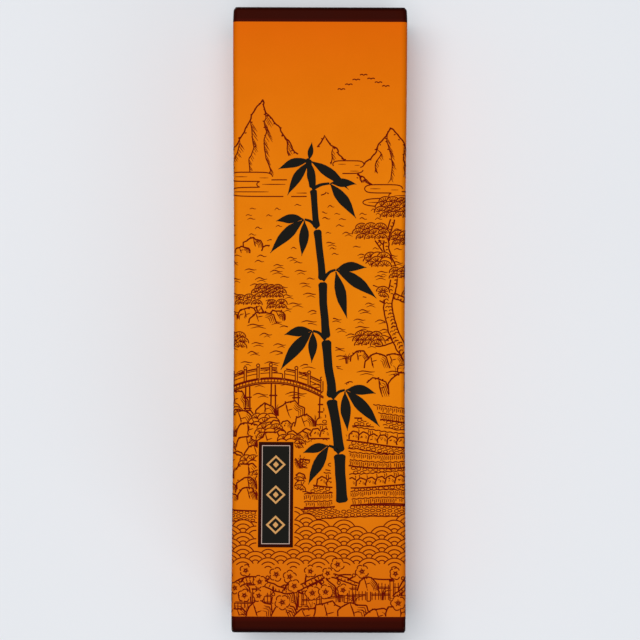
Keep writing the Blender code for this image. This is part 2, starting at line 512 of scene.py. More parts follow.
def bush(art, x, y, size, rng):
    """A clipped round bush, shaded on its right side."""
    turn = np.linspace(-0.3, math.pi + 0.3, 22)
    swell = 1 + 0.06 * np.sin(turn * 7 + rng.uniform(0, 6))
    art.hide(arc(x, y, size * 0.58, size * 0.64, turn))
    art.line(arc(x, y, size * 0.55 * swell, size * 0.62 * swell, turn), BOLD_PEN)
    turn = np.linspace(-0.2, 1.3, 7)
    for level in (0.3, 0.52, 0.74):
        shade = arc(x, y, size * 0.5 * level, size * 0.56 * level, turn) + [0.25, 0]
        art.line(shade, FINE_PEN, taper=1.5)
    for _ in range(3):
        px, py = x - rng.uniform(0.1, 0.35) * size, y + rng.uniform(0.05, 0.35) * size
        art.line([(px, py), (px + 0.6, py + 0.3)], FINE_PEN)


def bush_row(art, path, size, seed):
    """Clipped bushes side by side along a path."""
    rng = random.Random(seed)
    for x, y in resample(smooth(path), size * 0.98):
        bush(art, x, y + rng.uniform(-0.25, 0.25), size, rng)


def hedge(art, path, height, seed):
    """A clipped hedge along a path: a scalloped top, and short strokes for the shade on its side."""
    rng = random.Random(seed)
    top = resample(smooth(path), 0.5)
    scallops = 0.5 * abs(np.sin(np.arange(len(top)) * 0.5 * math.pi / 2.7))
    foot = top - [0, height]
    top = top + np.c_[np.zeros(len(top)), scallops]
    art.hide_between(top, foot)
    art.line(top, PEN)
    art.line(foot, PEN)
    for x, y in resample(top, 0.95):
        length = height * rng.uniform(0.35, 0.75)
        start = y - height * 0.2
        art.curve([(x, start), (x + 0.3, start - length / 2), (x + 0.1, start - length)], 4, FINE_PEN)


def stone_bank(art, path, height, seed, stone=2.7):
    """A dry stone bank below a path that runs to the right: courses of rounded stones."""
    rng = random.Random(seed)
    top = resample(smooth(path), 0.8)
    foot = wobble(top - [0, height], 0.5, 3.0, seed)
    art.hide_between(top, foot)
    art.line(top, BOLD_PEN)
    art.line(foot, PEN)
    courses = max(1, round(height / (stone * 0.72)))
    rise = height / courses
    for course in range(courses):
        for x, _ in resample(top, stone)[:-1]:
            middle = x + stone * (0.25 + 0.5 * (course % 2)) + rng.uniform(-0.2, 0.2)
            level = np.interp(middle, top[:, 0], top[:, 1]) - rise * (course + 0.5)
            across, up = stone * rng.uniform(0.36, 0.46), rise * rng.uniform(0.33, 0.42)
            art.line(closed(ellipse(middle, level, across, up, 9)), FINE_PEN)


def scale_template(radius, rings):
    """The arcs of one wave scale that show between the scales in front of it."""
    front = np.array([(radius, -radius / 2), (-radius, -radius / 2), (0, -radius)])
    arcs = []
    for ring in range(rings):
        reach = radius * (1 - ring / rings)
        turn = np.linspace(0, math.pi, max(8, int(reach * 6)))
        ring_line = arc(0, 0, reach, reach, turn)
        apart = ring_line[:, None] - front
        shows = (np.hypot(apart[..., 0], apart[..., 1]) > radius).all(1)
        arcs.append(ring_line[shows])
    return arcs


def scale_waves(art, top, bottom, radius=5.8, rings=3):
    """Rows of overlapping wave scales, with a rolling upper edge."""
    arcs = scale_template(radius, rings)
    columns = int(PRINT_SIDE / radius) + 2
    for row in range(int((top - bottom) / (radius / 2))):
        y = top - row * radius / 2
        for column in range(-columns, columns + 1):
            x = column * radius
            crest = top - radius * (0.6 + 0.5 * math.sin(x / 11) + 0.35 * math.sin(x / 4.3 + 1))
            if (column + row) % 2 or y > crest:
                continue
            art.hide(ellipse(x, y, radius, radius, 28))
            for ring_line in arcs:
                if len(ring_line) > 1:
                    art.line(ring_line + [x, y], PEN, step=0.7)


def grass(art, x, y, reach, count, seed):
    """A tuft of long bent blades."""
    rng = random.Random(seed)
    for _ in range(count):
        lean = rng.uniform(-0.9, 0.9)
        tall = reach * rng.uniform(0.6, 1.1)
        middle = (x + lean * tall * 0.3, y + tall * 0.6)
        tip = (x + lean * tall * 0.9, y + tall * (1 - 0.35 * abs(lean)))
        art.curve([(x + lean * 0.8, y), middle, tip], 6, PEN, reach)


def slat_fence(art, path, height, seed):
    """A fence of split bamboo along a path: slats of uneven height, two double rails and capped posts."""
    rng = random.Random(seed)
    foot = resample(smooth(path), 1.5)
    art.hide_between(foot, foot + [0, height])
    for x, y in foot:
        art.line([(x, y), (x, y + height * rng.uniform(0.92, 1.06))], FINE_PEN)
    for share in (0.28, 0.36, 0.7, 0.78):
        art.line(foot + [0, height * share], FINE_PEN)
    for x, y in foot[3::7]:
        art.shape(upright_box(x, 0.8, y - 0.5, y + height * 1.15))
        art.line(level_at(x, y + height * 1.17, 1.3), BOLD_PEN)


def plum_blossom(art, x, y, radius, turn):
    """A five-petalled blossom with its stamens."""
    centre = np.array((x, y))
    petals = []
    for i in range(5):
        middle = centre + turned(turn + 72 * i, radius * 0.55)
        petals.append(ellipse(*middle, radius * 0.46, radius * 0.46, 18))
    art.joined(petals)
    for i in range(10):
        way = turned(turn + 36 * i + 18)
        art.line([centre + way * 0.2, centre + way * radius * (0.5 if i % 2 else 0.36)], FINE_PEN)


def plum_tree(art, path, start_width, end_width, seed):
    """A gnarled bough of plum in flower: twigs on both sides with blossoms and round buds."""
    rng = random.Random(seed)
    trunk(art, path, start_width, end_width, seed)
    spine = resample(smooth(path), 5.2)
    flowers = []
    for i, (start, after) in enumerate(zip(spine, spine[1:])):
        side = 1 if i % 2 else -1
        heading = math.degrees(math.atan2(*(after - start)[::-1]))
        middle = start + turned(heading + side * rng.uniform(45, 70), rng.uniform(3, 4.5))
        tip = middle + turned(heading + side * rng.uniform(15, 80), rng.uniform(2.5, 5))
        art.curve([start, middle, tip], 8, [BOLD_PEN * 1.4, PEN])
        for x, y in (middle, (middle + tip) / 2):
            art.shape(ellipse(x + rng.uniform(-0.8, 0.8), y + rng.uniform(0.4, 0.9), 0.75, 0.75, 12))
        flowers.append((*tip, rng.uniform(2.7, 3.5)))
        if i % 3 == 0:
            flowers.append((*(start + turned(rng.uniform(0, 360), 1.5)), rng.uniform(2.4, 3.1)))
    for x, y, radius in flowers:
        plum_blossom(art, x, y, radius, rng.uniform(0, 72))


def pagoda(art, x, foot, width, storeys):
    """A slender tower: each storey a railed room under a roof with upturned corners."""
    rise = width * 0.5
    for storey in range(storeys):
        half = width / 2 * (1 - 0.14 * storey)
        base = foot + storey * rise
        eave, ridge = base + rise * 0.5, base + rise
        room = half * 0.62
        art.shape(upright_box(x, room, base, eave))
        for share in (-0.4, 0, 0.4):
            art.line([(x + room * share, base), (x + room * share, eave)], FINE_PEN)
        art.line(level_at(x, base + rise * 0.15, room), FINE_PEN)
        sweep = ((1.15, eave + 0.9), (0.9, eave), (0.5, eave + rise * 0.2), (0.35, ridge))
        left = smooth([(x - half * share, height) for share, height in sweep], 6)
        art.shape(np.vstack([left, (left * (-1, 1) + (2 * x, 0))[::-1]]), BOLD_PEN)
        for share in np.linspace(-0.8, 0.8, 9):
            art.line([(x + half * share, eave + 0.3), (x + half * share * 0.42, ridge)], FINE_PEN)
    top = foot + storeys * rise
    art.line([(x, top), (x, top + rise * 0.9)], BOLD_PEN)
    for share in (0.2, 0.4, 0.6):
        art.line(level_at(x, top + rise * share, 0.7))


PEAKS = (  # left end, top, right end, foot and seed
    (-100, (-74, 92), -40, 60, 5),
    (44, (70, 95), 100, 58, 12),
    (2, (33, 89), 62, 60, 21),
    (-34, (3, 84), 30, 60, 9),
    (-62, (-27, 101), 4, 58, 3),
)
MISTS = (  # middle, length, thickness and number of bars
    (-20, 62, 46, 4.2, 3),
    (40, 57, 40, 3.8, 3),
    (-74, 58, 36, 4, 3),
    (84, 66, 26, 3.6, 2),
    (10, 70, 20, 3.2, 2),
)


def mountains(art):
    """The upper part: peaks with mist lying across their feet, and a skein of geese."""
    art.layer("mountain_lines")
    for place in PEAKS:
        peak(art, *place)
    for place in MISTS:
        mist(art, *place)
    geese(art, 20, 112, 7)


def islet(art, x, y, seed):
    """A few rocks in the water with a small pine on them."""
    trunk(art, [(x + 1, y), (x - 1.5, y + 6), (x + 2, y + 11)], 2.4, 1.1, seed)
    for dx, dy, width, height in ((-6, 8.5, 12, 5), (3.5, 12.5, 14, 6), (7, 6.5, 8, 4)):
        pine_pad(art, x + dx, y + dy, width, height, seed + width, 2.5)
    for dx, dy, width, height in ((-6, -0.5, 10, 5), (6.5, -1, 9, 4.5), (0.5, -2.5, 13, 5)):
        rock(art, x + dx, y + dy, width, height, seed + width)
    grass(art, x + 10.5, y - 1.5, 4, 6, seed)
    grass(art, x - 11, y - 1, 4, 5, seed + 1)


def lake(art):
    """The water with its rocks and islets, and a pagoda on a point."""
    art.layer("lake_lines")
    water(art, 52, -36, 8)
    rocks(art, (-31, 33, 9, 4.5, 1), (-24, 31.5, 6, 2.6, 2), (-36, 30.5, 7, 3, 3))
    rocks(art, (19, -19, 9, 5, 11), (35, -20, 10, 5, 13), (27, -22, 12, 6.5, 12))
    grass(art, 13, -20, 5, 7, 14)
    grass(art, 36, -24, 5, 7, 15)
    islet(art, -27, 1, 50)
    islet(art, 74, 6, 51)
    pagoda(art, -70, 22, 11, 4)
    pine_pads(art, (-61, 24, 9, 5, 15), (-79, 23, 8, 4, 16))
    rocks(art, (-78, 16, 13, 5, 4), (-62, 15.5, 12, 5.5, 5), (-70, 13.5, 15, 5.5, 6))


def leaning_pine(art):
    """The old pine on the right shore, leaning over the water."""
    for path, seed in (
        ([(34, 20), (42, 25), (50, 26)], 5),
        ([(32, 30), (27, 36), (24, 39)], 6),
        ([(36, -8), (29, -11), (24, -11)], 7),
        ([(33, 12), (41, 9), (48, 10)], 8),
        ([(32, 8), (28, 10), (24, 10)], 9),
    ):
        trunk(art, path, 2.4, 1.0, seed)
    trunk(art, [(56, -36), (48, -24), (37, -10), (32, 6), (35, 20), (31, 34), (34, 46)], 6.5, 1.6, 2)
    pine_pads(art, (36, 52, 19, 9, 1), (53, 30, 21, 9, 2), (24, 41, 15, 7, 3), (40, 38, 13, 6, 8))
    pine_pads(art, (27, 28, 12, 6, 5), (23, -8, 13, 6, 6), (48, 13, 17, 7, 7))
    pine_pads(art, (26, 13, 12, 5, 9), (39, 22, 12, 5, 10))


def left_bank(art):
    """Rocks and young pines where the bridge lands."""
    trunk(art, [(-50, -28), (-47, -14), (-52, -2)], 3.6, 1.4, 14)
    pine_pads(art, (-52, 3, 19, 8, 14), (-41, -9, 14, 7, 17), (-62, -10, 15, 6, 18))
    rocks(art, (-90, -26, 18, 14, 31), (-75, -30, 16, 11, 32), (-61, -33, 15, 13, 33))
    rocks(art, (-48, -36, 14, 10, 34), (-38, -40, 10, 7, 35), (-83, -34, 14, 8, 36))


def garden_terraces(art):
    """Terraces that step down the right shore: hedges and clipped bushes above banks of stone."""
    art.layer("garden_lines")
    rocks(art, (16, -37, 12, 8, 41), (27, -35, 13, 9, 42), (40, -34, 15, 10, 43))
    rocks(art, (55, -33, 16, 8, 44), (71, -33, 15, 9, 45), (87, -34, 18, 10, 46))
    for level in range(5):
        top = -42 - level * 9.6
        left = 2 - 5 * math.sin(level * 1.1) - level * 3.4
        stations = np.linspace(left, PRINT_SIDE + 4, 9)
        path = np.c_[stations, top + 1.6 * np.sin(stations / 13 + level * 1.3) - 0.03 * (stations - left)]
        hedge(art, path + [0, 2.2], 3.2, 60 + level)
        if level % 2:
            bush_row(art, path - [0, 2.2], 4.6, 80 + level)
        else:
            hedge(art, path - [0, 1.4], 3.0, 70 + level)
        stone_bank(art, path - [0, 3.9], 3.6, 90 + level)


def near_bank(art):
    """The lower left shore, behind the plaque: rocks, young pines and bushes, down to the long bank."""
    for row in range(9):
        y = -44 - row * 4.8
        right = -6 + 4 * math.sin(row * 1.3) - row * 0.8
        for i in range(9):
            x = -PRINT_SIDE + 4 + (right + PRINT_SIDE - 6) * (i + 0.5 * (row % 2)) / 8.5
            seed = 100 + row * 10 + i
            kind = (row * 3 + i * 5) % 4
            if kind == 0:
                rock(art, x, y, 12, 7, seed)
            elif kind == 1:
                pine_pad(art, x, y + 3, 12, 6, seed)
            elif kind == 2:
                bush_row(art, [(x - 5, y), (x + 5, y - 0.5)], 4.8, seed)
            else:
                rock(art, x - 2, y, 9, 5.5, seed)
                grass(art, x + 3, y, 6, 7, seed)


def shore(art):
    """The long stone bank at the water's edge, and the waves in front of it."""
    art.layer("wave_lines")
    stations = np.linspace(-PRINT_SIDE - 4, PRINT_SIDE + 4, 17)
    stone_bank(art, np.c_[stations, -86 + 1.5 * np.sin(stations / 17)], 5.2, 99)
    scale_waves(art, -91.5, -119)


def foreground(art):
    """Boulders and grass along the foot of the picture, under flowering boughs of plum."""
    art.layer("foreground_lines")
    across = np.linspace(-PRINT_SIDE, PRINT_SIDE, 90)
    line = np.c_[across, -120 + 3 * np.sin(across / 15) + 1.5 * np.sin(across / 6)]
    art.hide(np.vstack([line, [PRINT_SIDE, -140], [-PRINT_SIDE, -140]]))
    art.line(line, BOLD_PEN)
    slat_fence(art, np.c_[across[::6], -130 + 2 * np.sin(across[::6] / 19)], 7.5, 78)
    rng = random.Random(77)
    for i in range(30):
        x = -PRINT_SIDE + 2 * PRINT_SIDE * (i + 0.5) / 30
        y = -127 + 3 * math.sin(x / 15) - (i % 3) * 3
        if i % 3 == 0:
            rock(art, x, y, rng.uniform(9, 13), rng.uniform(6, 9), 300 + i)
        else:
            grass(art, x, y - 1, rng.uniform(6, 9), 9, 300 + i)
    for i in range(18):
        x = -PRINT_SIDE + 2 * PRINT_SIDE * (i + 0.5) / 18
        rock(art, x, -138, rng.uniform(12, 17), rng.uniform(6, 10), 400 + i)
        grass(art, x + rng.uniform(4, 7), -137, rng.uniform(5, 8), 9, 400 + i)
    left_bough = [(-98, -134), (-72, -124), (-50, -128), (-32, -119), (-14, -124), (4, -117), (18, -121)]
    right_bough = [(98, -132), (80, -121), (62, -127), (46, -120), (34, -127)]
    plum_tree(art, left_bough, 5, 1.4, 6)
    plum_tree(art, right_bough, 4.4, 1.4, 7)


# The bold brushwork: a stalk of bamboo with sprays of leaves


def leaf(art, base, direction, length, width, bend):
    """One leaf in a single brush stroke: thin at its stalk, full near the middle, drawn out to a point."""
    t = np.linspace(0, 1, 24)
    angle = np.radians(direction + bend * (t - 0.5))
    step = length / (len(t) - 1)
    path = np.array(base) + np.c_[np.cumsum(np.cos(angle)), np.cumsum(np.sin(angle))] * step
    swell = np.sin(math.pi * t**0.86) ** 1.25
    edge = 1 + 0.05 * np.array([noise.noise(Vector((x, y, 0))) for x, y in path])
    widths = np.maximum(width / 2 * swell * edge, 0.12)
    widths[0] = 0.35
    art.line(wobble(path, 0.25, 5), widths, step=0.4)


def cane(art, start, end, width):
    """One length of bamboo stalk, pressed out wider at both ends."""
    t = np.linspace(0, 1, 40)
    path = np.asarray(start) + (np.asarray(end) - start) * t[:, None]
    press = 1 + 0.28 * abs(2 * t - 1) ** 5
    press[[0, -1]] = 0.6
    press[[1, -2]] = 1.05
    art.line(wobble(path, 0.7, 9), width / 2 * press, step=0.4)


STALK = ((11, -84), (9.5, -61), (6, -36), (3, -9), (1.5, 18), (-1, 42), (-3.5, 60), (-5.5, 74))
TIP = ((-36, 22, 4.6, -18), (-80, 16, 4.0, 6), (-122, 18, 4.2, 8), (-164, 15, 4.2, 24), (80, 8, 2.6, 8))
SPRAYS = (  # the joint it grows from, the twig's reach, and its leaves: direction, length, width and bend
    (7, (0.5, -1), TIP),
    (6, (8, 2.5), ((-2, 12, 4.0, -22), (-52, 20, 5.0, -10))),
    (5, (-6, 4), ((-176, 13, 4.2, 26), (-136, 22, 5.2, 16), (-94, 16, 4.6, -4))),
    (4, (6, 5), ((4, 14, 4.4, -24), (-34, 23, 5.4, -18), (-76, 22, 5.0, 6))),
    (3, (-6, 4), ((-172, 13, 4.6, 24), (-130, 23, 5.4, 14), (-92, 14, 4.2, -4))),
    (2, (6, 4), ((-6, 14, 4.6, -24), (-46, 23, 5.4, -12), (-86, 18, 4.8, 6))),
    (1, (-5, 3.5), ((-164, 12, 4.2, 20), (-118, 20, 5.0, 8))),
)


def bamboo_spray():
    """The whole stalk, from the thick foot up, and then its leaves."""
    art = Drawing()
    art.layer("bamboo_spray")
    for number, (lower, upper) in enumerate(zip(STALK, STALK[1:])):
        lower, upper = np.array(lower), np.array(upper)
        gap = (upper - lower) / math.dist(lower, upper) * 0.5
        cane(art, lower + gap, upper - gap, 4.8 - 0.38 * number)
    for number, reach, leaves in SPRAYS:
        foot = np.array(STALK[number])
        tip = foot + reach
        twig = smooth([foot, foot + (reach[0] * 0.5, reach[1] * 0.75), tip], 8)
        art.line(twig, [0.9, 0.5], step=0.4)
        for i, (direction, length, width, bend) in enumerate(leaves):
            leaf(art, tip - turned(direction, 0.7) * (i % 2), direction, length, width, bend)
    return art


# The plaque at the lower left: a dark field in a maroon border, with a pale line and three gold lozenges

PLAQUE_X, PLAQUE_Y = -19.88, -80.0
PLAQUE_WIDTH, PLAQUE_LENGTH = 16.1, 48.3
PLAQUE_MARGIN = 0.3  # between it and the drawn lines
BORDER = 1.7  # the pale line runs where it meets the field
PALE_PEN, GOLD_PEN = 0.15, 0.42
LOZENGE_PITCH = 13.8
LOZENGE_HALF_WIDTH, LOZENGE_HALF_HEIGHT = 3.9, 3.7
HEART = 1.4  # half the width of the small solid lozenge in the middle of each


def plaque_corners(margin):
    """The plaque's rectangle, with a margin round it."""
    half_x, half_y = PLAQUE_WIDTH / 2 + margin, PLAQUE_LENGTH / 2 + margin
    return [(PLAQUE_X + i * half_x, PLAQUE_Y + j * half_y) for i, j in ((-1, -1), (1, -1), (1, 1), (-1, 1))]


def frame_lines(art, corners, pen):
    """A closed frame of straight strokes, each drawn on over the corners."""
    for start, end in zip(corners, corners[1:] + corners[:1]):
        start, end = np.array(start), np.array(end)
        over = (end - start) / math.dist(start, end) * pen
        art.line([start - over, end + over], pen)


def plaque():
    """The border and the field as wide upright strokes, and the pale and gold drawing on them."""
    art = Drawing()
    for layer, inset in (("plaque_border", 0.0), ("plaque_field", BORDER)):
        art.layer(layer)
        reach = PLAQUE_LENGTH / 2 - inset
        ends = [(PLAQUE_X, PLAQUE_Y - reach), (PLAQUE_X, PLAQUE_Y + reach)]
        art.line(ends, PLAQUE_WIDTH / 2 - inset, step=2)
    art.layer("plaque_line")
    frame_lines(art, plaque_corners(-BORDER), PALE_PEN)
    art.layer("plaque_gold")
    for i in (-1, 0, 1):
        y = PLAQUE_Y + i * LOZENGE_PITCH
        ways = ((0, -1), (1, 0), (0, 1), (-1, 0))
        corners = [(PLAQUE_X + LOZENGE_HALF_WIDTH * a, y + LOZENGE_HALF_HEIGHT * b) for a, b in ways]
        frame_lines(art, corners, GOLD_PEN)
        art.line([(PLAQUE_X, y - HEART), (PLAQUE_X, y + HEART)], [0.02, HEART, 0.02], step=0.4)
    return art


# Node trees


class Number:
    """A number in a node tree, so that a formula in the tree reads as a formula here."""

    def __init__(self, tree, socket):
        self.tree, self.socket = tree, socket

    def math(self, operation, *others, clamp=False):
        """The outcome of one of Blender's own operations on this number and others."""
        node = self.tree.nodes.new("ShaderNodeMath")
        node.operation = operation
        node.use_clamp = clamp
        for slot, value in zip(node.inputs, (self, *others)):
            if isinstance(value, Number):
                self.tree.links.new(value.socket, slot)
            else:
                slot.default_value = value
        return Number(self.tree, node.outputs[0])

    def __add__(self, other):
        return self.math("ADD", other)

    def __sub__(self, other):
        return self.math("SUBTRACT", other)

    def __mul__(self, other):
        return self.math("MULTIPLY", other)

    def __truediv__(self, other):
        return self.math("DIVIDE", other)

    def ramp(self, start, slope):
        """The slope times how far the number is past the start, held between 0 and 1."""
        return (self - start).math("MULTIPLY", slope, clamp=True)


def geometry_tree(name, inputs):
    """A Geometry Nodes tree with its geometry in and out and the named inputs."""
    tree = bpy.data.node_groups.new(name, "GeometryNodeTree")
    tree.interface.new_socket("Geometry", in_out="INPUT", socket_type="NodeSocketGeometry")
    for label, kind in inputs:
        tree.interface.new_socket(label, in_out="INPUT", socket_type=kind)
    tree.interface.new_socket("Geometry", in_out="OUTPUT", socket_type="NodeSocketGeometry")
    start = tree.nodes.new("NodeGroupInput")
    end = tree.nodes.new("NodeGroupOutput")
    return tree, start.outputs, end.inputs


def add_node(tree, kind, links=(), **settings):
    """A node with its settings, and its inputs linked or set by name or number."""
    node = tree.nodes.new(kind)
    for key, value in settings.items():
        setattr(node, key, value)
    for slot, value in dict(links).items():
        if isinstance(value, Number):
            value = value.socket
        if isinstance(value, bpy.types.NodeSocket):
            tree.links.new(value, node.inputs[slot])
        else:
            node.inputs[slot].default_value = value
    return node


def coordinates(tree, place):
    """The three coordinates of a place, as numbers."""
    split = add_node(tree, "ShaderNodeSeparateXYZ", {0: place})
    return [Number(tree, split.outputs[axis]) for axis in "XYZ"]


def sweeping_tree():
    """Sweeps drawn lines to their width, as flat slabs from Depth below the board to Height above it."""
    inputs = (("Height", "NodeSocketFloat"), ("Depth", "NodeSocketFloat"))
    tree, given, result = geometry_tree("swept_to_width", inputs)
    width = add_node(tree, "GeometryNodeInputNamedAttribute", {"Name": "half_width"}, data_type="FLOAT")
    lift = add_node(tree, "GeometryNodeInputNamedAttribute", {"Name": "lift"}, data_type="FLOAT")
    curves = add_node(tree, "GeometryNodeMeshToCurve", {0: given["Geometry"]})
    flat = add_node(tree, "GeometryNodeSetCurveNormal", {0: curves.outputs[0]}, mode="Z_UP")
    profile = add_node(tree, "GeometryNodeCurvePrimitiveQuadrilateral", {"Width": 2.0, "Height": 2.0})
    curves_and_widths = {
        "Curve": flat.outputs[0],
        "Profile Curve": profile.outputs[0],
        "Scale": width.outputs["Attribute"],
        "Fill Caps": True,
    }
    swept = add_node(tree, "GeometryNodeCurveToMesh", curves_and_widths)
    x, y, z = coordinates(tree, add_node(tree, "GeometryNodeInputPosition").outputs[0])
    height, depth = Number(tree, given["Height"]), Number(tree, given["Depth"])
    above = z.math("GREATER_THAN", 0.0)
    level = above * (height + Number(tree, lift.outputs["Attribute"]) + depth) - depth
    moved = add_node(tree, "ShaderNodeCombineXYZ", {"X": x, "Y": y, "Z": level})
    slabs = add_node(tree, "GeometryNodeSetPosition", {0: swept.outputs[0], "Position": moved.outputs[0]})
    tree.links.new(slabs.outputs[0], result["Geometry"])
    return tree


def laying_tree():
    """Lays flat print on the carton: over the crowned front panel, round the long folds, down the sides."""
    sizes = ("Length", "Width", "Height", "Fold Radius", "Fold Drop", "Waist", "Crown")
    inputs = [(size, "NodeSocketFloat") for size in sizes] + [("Material", "NodeSocketMaterial")]
    tree, given, result = geometry_tree("laid_on_carton", inputs)
    length, width, height, radius, drop, waist, crown = (Number(tree, given[size]) for size in sizes)
    x, y, ink = coordinates(tree, add_node(tree, "GeometryNodeInputPosition").outputs[0])
    bulge = ((y * (2 * math.pi) / length).math("COSINE") + 1) / 2
    half = width / 2 - waist * bulge
    inner = half - radius
    across = x.math("ABSOLUTE") * half / (width / 2)
    past = (across - inner).math("MAXIMUM", 0.0)
    bend = radius * (math.pi / 2)
    angle = past.math("MINIMUM", bend) / radius
    down = (past - bend).math("MAXIMUM", 0.0)
    flat = across.math("MINIMUM", inner)
    out = flat + angle.math("SINE") * (radius + ink)
    rise = crown * bulge * ((flat / inner).math("POWER", 2.0) * -1 + 1)
    up = height - crown - drop - down + angle.math("COSINE") * (drop + ink) + rise
    laid = add_node(tree, "ShaderNodeCombineXYZ", {"X": out * x.math("SIGN"), "Y": y, "Z": up})
    moved = add_node(tree, "GeometryNodeSetPosition", {0: given["Geometry"], "Position": laid.outputs[0]})
    real = add_node(tree, "GeometryNodeRealizeInstances", {0: moved.outputs[0]})
    inked = add_node(tree, "GeometryNodeSetMaterial", {0: real.outputs[0], "Material": given["Material"]})
    tree.links.new(inked.outputs[0], result["Geometry"])
    return tree


SWEEPING, LAYING = sweeping_tree(), laying_tree()


def add_tree(obj, tree, values):
    """A Geometry Nodes modifier with its inputs set by their sockets' identifiers."""
    modifier = obj.modifiers.new(tree.name, "NODES")
    modifier.node_group = tree
    for item in tree.interface.items_tree:
        if item.item_type == "SOCKET" and item.in_out == "INPUT" and item.name in values:
            modifier[item.identifier] = values[item.name]


def link(obj):
    """Puts an object in the scene."""
    bpy.context.scene.collection.objects.link(obj)
    return obj


def made_real(obj, name, flat=True):
    """The object as its modifiers leave it, as a plain mesh of its own. The first object is removed."""
    evaluated = obj.evaluated_get(bpy.context.evaluated_depsgraph_get())
    mesh = bpy.data.meshes.new_from_object(evaluated)
    mesh.name = name
    if flat:
        mesh.shade_flat()
    source = obj.data
    bpy.data.objects.remove(obj)
    bpy.data.meshes.remove(source)
    return link(bpy.data.objects.new(name, mesh))


def drawn(name, strokes):
    """Strokes as loose edges, in metres, with each point's half width and the lift of its stroke."""
    points, edges, widths, lifts = [], [], [], []
    for number, stroke in enumerate(strokes):
        stroke = thinned(stroke)
        first = len(points)
        points += [(x * MM, y * MM, 0.0) for x, y, _ in stroke]
        edges += [(i, i + 1) for i in range(first, len(points) - 1)]
        widths += [half * MM for half in stroke[:, 2]]
        lifts += [number % LIFTS * LIFT * MM] * len(stroke)
    mesh = bpy.data.meshes.new(name)
    mesh.from_pydata(points, edges, [])
    for label, values in (("half_width", widths), ("lift", lifts)):
        mesh.attributes.new(label, "FLOAT", "POINT").data.foreach_set("value", values)
    return link(bpy.data.objects.new(name, mesh))


CARTON_SIZES = {
    "Length": LENGTH * MM,
    "Width": WIDTH * MM,
    "Height": HEIGHT * MM,
    "Fold Radius": FOLD_RADIUS * MM,
    "Fold Drop": FOLD_DROP * MM,
    "Waist": WAIST * MM,
    "Crown": CROWN * MM,
}


def printed(art, layer, height, material):
    """A finished layer of ink: a layer of a drawing swept to its width and laid on the carton."""
    obj = drawn(layer + "_strokes", art.strokes(layer))
    add_tree(obj, SWEEPING, {"Height": height * MM, "Depth": INK_DEPTH * MM})
    add_tree(obj, LAYING, {**CARTON_SIZES, "Material": material})
    piece = made_real(obj, layer)
    for label in ("half_width", "lift"):
        used = piece.data.attributes.get(label)
        if used:
            piece.data.attributes.remove(used)
    return piece


# Finishes

SIDE_FOLD_SHADE_AND_WEAR, END_FOLD_SHADE_AND_WEAR = 2.8, 2.0  # how far in from the sides and the ends the painted shade and the wear along the folds begin
CORNER_WEAR = 9.0  # how far in from the ends the corners' wear does
FOOT_SHADE_START, HEAD_SHADE_START = 3.3, 2.0  # how far in from its end each band's painted shade begins
FOOT_RISE, HEAD_RISE = 3.0, 3.4  # and over what length it gets there
FOOT_THIN, HEAD_THIN = 2.6, 1.6  # how wide the thinner ink is along each band's inner edge


def finish_tree(name, colour, roughness):
    """A material that hardly shines, with its tree, its shader and the place of each of its points."""
    material = bpy.data.materials.new(name)
    material.use_nodes = True
    tree = material.node_tree
    shader = tree.nodes["Principled BSDF"]
    shader.inputs["Base Color"].default_value = (*colour, 1)
    shader.inputs["Roughness"].default_value = roughness
    shader.inputs["Specular IOR Level"].default_value = 0.01
    place = add_node(tree, "ShaderNodeTexCoord").outputs["Object"]
    return material, tree, shader, place


def clouds(tree, place, scale, detail=2.0, roughness=0.5):
    """Smooth noise about 0.5. A larger scale makes it finer."""
    values = {"Vector": place, "Scale": scale, "Detail": detail, "Roughness": roughness}
    return Number(tree, add_node(tree, "ShaderNodeTexNoise", values).outputs["Fac"])


def bumped(tree, height, strength, distance, values=None):
    """The normal of a surface with fine relief."""
    values = {"Height": height, "Strength": strength, "Distance": distance, **(values or {})}
    return add_node(tree, "ShaderNodeBump", values).outputs[0]


def board_surface(tree, shader, place):
    """The coated board under every ink: a faint paper grain and slow waves in the panels."""
    fibre = clouds(tree, place, 1400.0, 3.0, 0.6)
    waves = clouds(tree, place, 28.0, 1.0)
    grain = bumped(tree, fibre, 0.12, 0.00008)
    tree.links.new(bumped(tree, waves, 0.2, 0.0004, {"Normal": grain}), shader.inputs["Normal"])
    return fibre


def fold_shade_and_wear(tree, place):
    """Two shares along the folds round the front panel. One is painted shade that darkens the folds, more so
    on the right. The other is where the ink is rubbed off in fine scuffs, more of them at the corners."""
    x, y, z = (value / MM for value in coordinates(tree, place))
    across, along = x.math("ABSOLUTE"), y.math("ABSOLUTE")
    depth = (z * -1 + HEIGHT) / FOLD_DROP
    at_side = across.ramp(WIDTH / 2 - SIDE_FOLD_SHADE_AND_WEAR, 2.0)
    edge = at_side.math("MAXIMUM", along.ramp(LENGTH / 2 - END_FOLD_SHADE_AND_WEAR, 2.0))
    # Painted shade along the folds, made stronger on the right side than on the left
    painted_fold_shade = (depth * 2.5).math("MINIMUM", 1.0) * depth.ramp(1.4, -2.0) * edge
    painted_fold_shade = painted_fold_shade * (x.math("SIGN") * 0.4 + 1)
    ridge = depth.ramp(0.2, 4.0) * depth.ramp(0.9, -4.0)
    corner = along.ramp(LENGTH / 2 - CORNER_WEAR, 0.12) * at_side
    rubbed = (clouds(tree, place, 700.0, 4.0, 0.7) + corner * 0.04).ramp(0.6, 9.0)
    return painted_fold_shade, rubbed * ridge * edge


def mixed(tree, share, first, second):
    """Two colours mixed by a share from 0 to 1."""
    first, second = [(*part, 1) if isinstance(part, (tuple, list)) else part for part in (first, second)]
    node = add_node(tree, "ShaderNodeMix", {0: share, 6: first, 7: second}, data_type="RGBA")
    return node.outputs[2]


